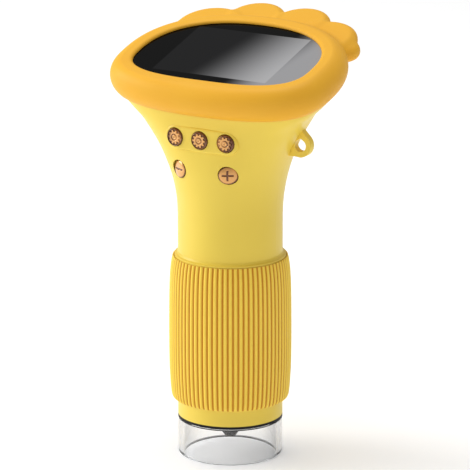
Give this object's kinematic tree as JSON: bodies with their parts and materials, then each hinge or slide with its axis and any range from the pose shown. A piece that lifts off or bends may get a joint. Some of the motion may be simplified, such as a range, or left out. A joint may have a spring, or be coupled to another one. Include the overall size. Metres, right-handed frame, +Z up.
{
  "type": "handheld digital microscope",
  "caption": "Child's handheld digital microscope: flared head with a tilted screen in a scalloped soft rim, bronze keys, a ribbed focus ring and a clear stand-off hood.",
  "frame": {"origin": "centre of the clear hood's lower rim, on the surface that the microscope stands on and on its optical axis", "axes": "+Z up the optical axis to the head, -Y out of the side with the buttons (the front), +X the right-hand side with the lanyard loop"},
  "size_m": [0.0774, 0.065, 0.1396],
  "materials": {
    "lemon_shell": "satin lemon-yellow injection moulding, faint moulded texture",
    "orange_rim": "soft-touch orange-yellow, satin",
    "orange_grip": "ribbed soft rubber, satin",
    "bronze_button": "golden bronze, glossy",
    "clear_plastic": "clear acrylic, polished",
    "black_plastic": "matt black",
    "screen_glass": "black-bordered cover glass, polished",
    "display": "dark display panel with a metal tray",
    "white_plastic": "natural white moulding",
    "circuit_board": "green solder mask over glass-fibre board",
    "chip": "black epoxy",
    "steel": "zinc-plated or stainless steel",
    "battery_pouch": "silver foil pouch",
    "flex_film": "amber polyimide film",
    "lead_wire": "insulated wire",
    "lens_glass": "coated optical glass",
    "lamp": "white lamp with a yellow phosphor",
    "seal_rubber": "black rubber ring, greased"
  },
  "bodies": {
    "housing": {"head_shell": "lemon_shell", "bezel": "orange_rim", "screen_glass": "screen_glass", "lcd_panel": "display", "display_carrier": "white_plastic", "carrier_screws": "steel", "main_board": "circuit_board", "board_screws": "steel", "processor_chip": "chip", "power_chip": "chip", "usb_socket": "steel", "card_socket": "steel", "lcd_flex": "flex_film", "flex_connector": "white_plastic", "button_board": "circuit_board", "button_screws": "steel", "switch_bases": "black_plastic", "battery_cradle": "white_plastic", "battery": "battery_pouch", "battery_leads": "lead_wire", "optics_tube": "lemon_shell", "tube_screws": "steel", "drag_ring": "seal_rubber", "sensor_board": "circuit_board", "image_sensor": "chip", "sensor_screws": "steel", "sensor_flex": "flex_film", "light_plate": "black_plastic", "led_board": "circuit_board", "leds": "lamp", "plate_screws": "steel", "led_leads": "lead_wire"},
    "focus": {"focus_grip": "orange_grip", "cam_sleeve": "white_plastic"},
    "lens": {"lens_carriage": "black_plastic", "guide_pins": "steel", "front_lens": "lens_glass", "rear_lens": "lens_glass", "lens_retainer": "black_plastic"},
    "hood": {"clear_hood": "clear_plastic"},
    "left_gear_key": {"left_gear_button": "bronze_button", "left_gear_plunger": "black_plastic"},
    "middle_gear_key": {"middle_gear_button": "bronze_button", "middle_gear_plunger": "black_plastic"},
    "right_gear_key": {"right_gear_button": "bronze_button", "right_gear_plunger": "black_plastic"},
    "minus_key": {"minus_button": "bronze_button", "minus_plunger": "black_plastic"},
    "plus_key": {"plus_button": "bronze_button", "plus_plunger": "black_plastic"}
  },
  "joints": [
    {"name": "focus_turn", "type": "hinge", "parent": "housing", "child": "focus", "pos_m": [0, 0, 0.042], "axis": [0, 0, 1], "range_deg": [-90, 90]},
    {"name": "lens_focus", "type": "slide", "parent": "housing", "child": "lens", "axis": [0, 0, 1], "range_m": [-0.004, 0.004]},
    {"name": "hood_pull", "type": "slide", "parent": "housing", "child": "hood", "axis": [0, 0, -1], "range_m": [0, 0.012]},
    {"name": "left_gear_press", "type": "slide", "parent": "housing", "child": "left_gear_key", "axis": [0, -1, 0], "range_m": [-0.0004, 0], "stiffness_N_per_m": 500, "springref_m": 0.0005},
    {"name": "middle_gear_press", "type": "slide", "parent": "housing", "child": "middle_gear_key", "axis": [0, -1, 0], "range_m": [-0.0004, 0], "stiffness_N_per_m": 500, "springref_m": 0.0005},
    {"name": "right_gear_press", "type": "slide", "parent": "housing", "child": "right_gear_key", "axis": [0, -1, 0], "range_m": [-0.0004, 0], "stiffness_N_per_m": 500, "springref_m": 0.0005},
    {"name": "minus_press", "type": "slide", "parent": "housing", "child": "minus_key", "axis": [0, -1, 0], "range_m": [-0.0004, 0], "stiffness_N_per_m": 500, "springref_m": 0.0005},
    {"name": "plus_press", "type": "slide", "parent": "housing", "child": "plus_key", "axis": [0, -1, 0], "range_m": [-0.0004, 0], "stiffness_N_per_m": 500, "springref_m": 0.0005}
  ],
  "couplings": [
    {"joint": "lens_focus", "follows": "focus_turn", "m_per_rad": -0.0025465}
  ]
}
